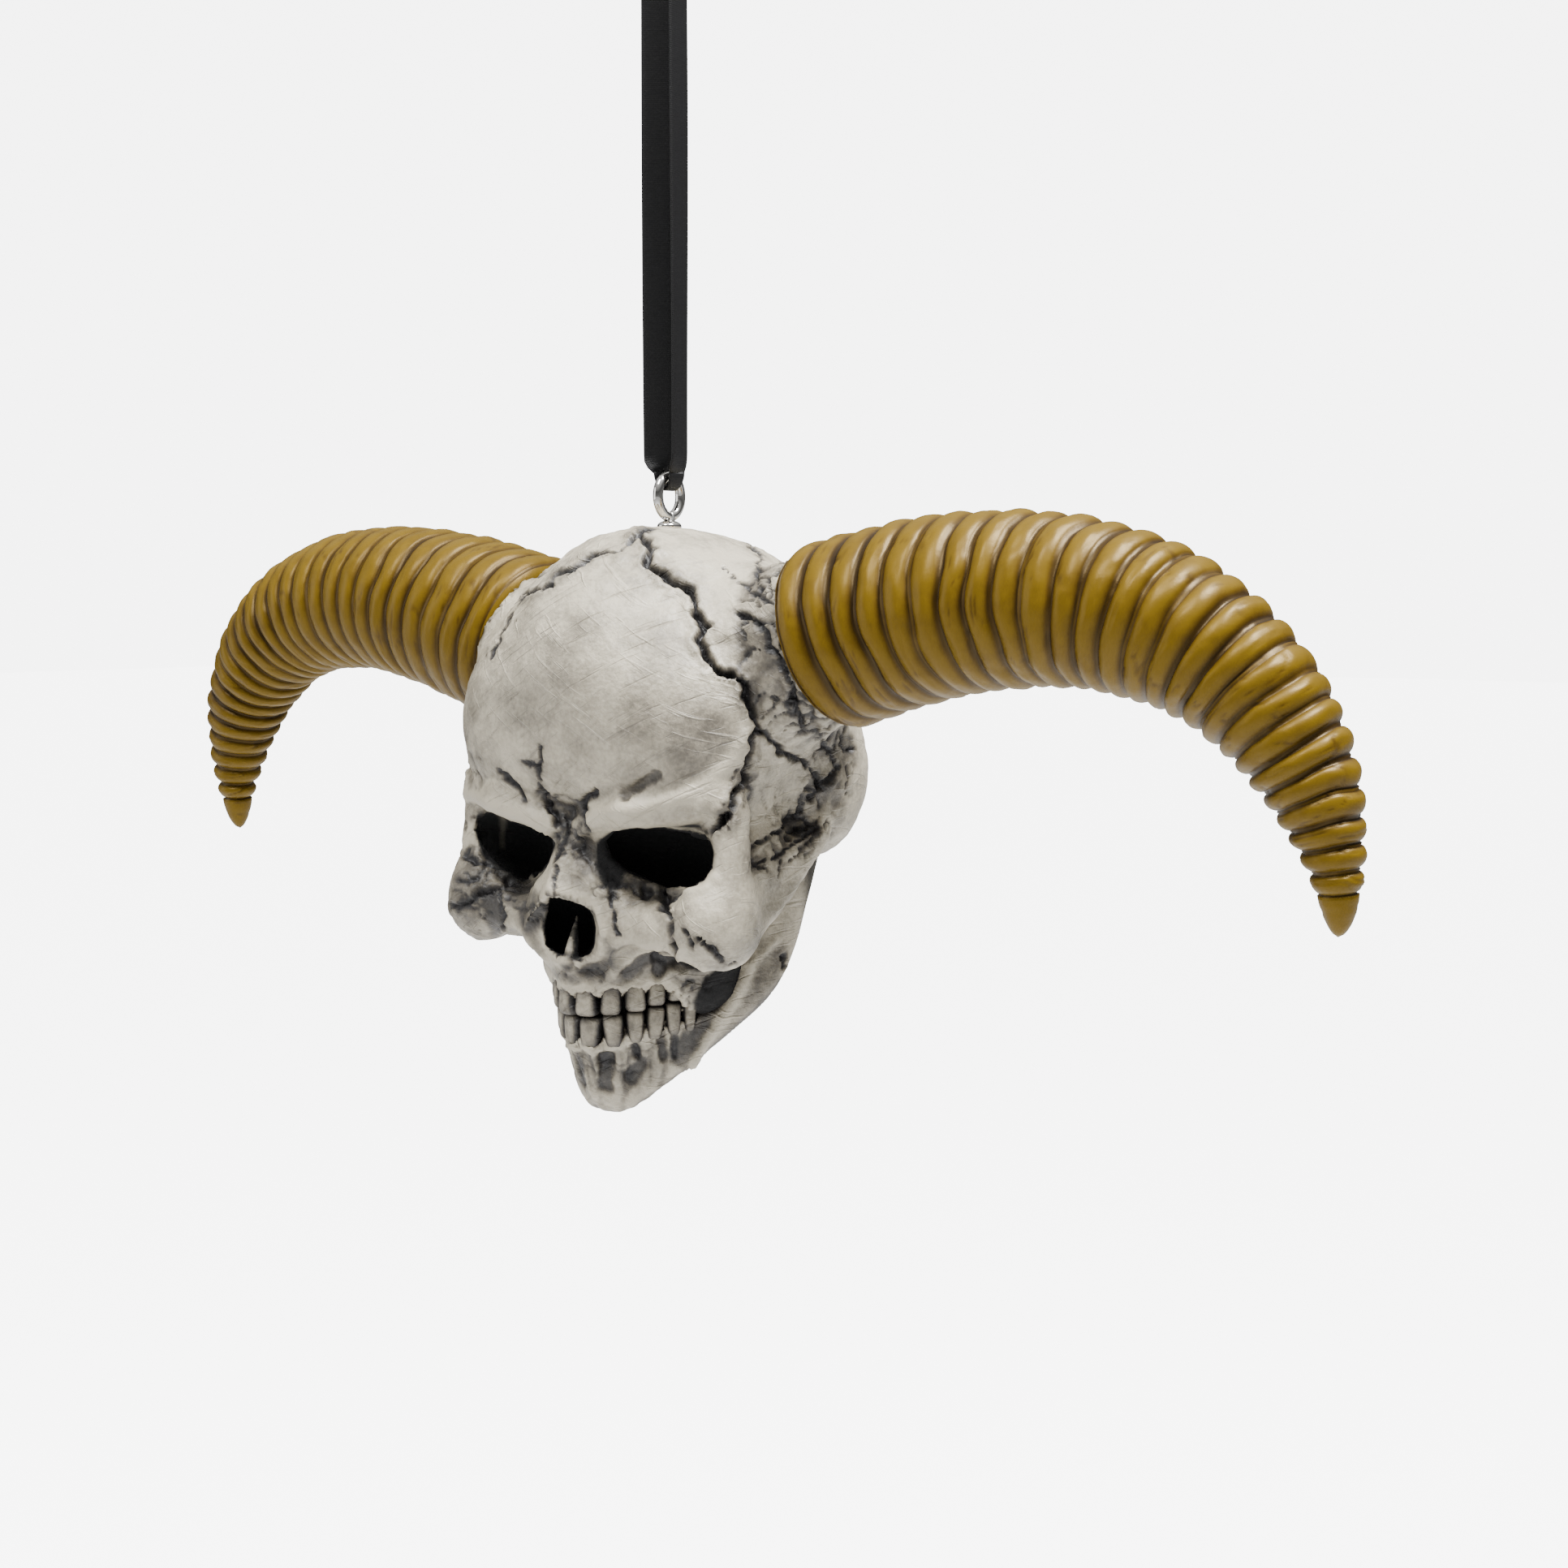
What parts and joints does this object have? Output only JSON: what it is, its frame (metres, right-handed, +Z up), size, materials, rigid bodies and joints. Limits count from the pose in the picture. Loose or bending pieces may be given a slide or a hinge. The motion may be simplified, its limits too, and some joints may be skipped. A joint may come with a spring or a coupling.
{
  "type": "hanging horned skull ornament",
  "caption": "Small cast-resin hanging ornament shaped as a horned skull with ringed horns, a wire eye in the crown and a flat satin ribbon that ends in a knot.",
  "frame": {"origin": "the point under the knot of the ribbon where a hook or peg holds the ornament", "axes": "+Z up along the hanging ribbon, -Y where the face looks, +X the skull's left"},
  "size_m": [0.141, 0.0386, 0.1193],
  "materials": {
    "bone": "cast resin, off-white paint with a dark wash in the cracks, satin",
    "horn": "cast resin, ochre paint with brown wash in the grooves, semi-gloss",
    "chrome": "bright plated wire",
    "satin": "black satin ribbon, woven edges"
  },
  "bodies": {
    "root": {"cranium": "bone", "mandible": "bone", "horn_left": "horn", "horn_right": "horn", "screw_eye": "chrome", "ribbon_fold": "satin", "ribbon_left": "satin", "ribbon_right": "satin", "ribbon_knot": "satin"}
  },
  "joints": []
}
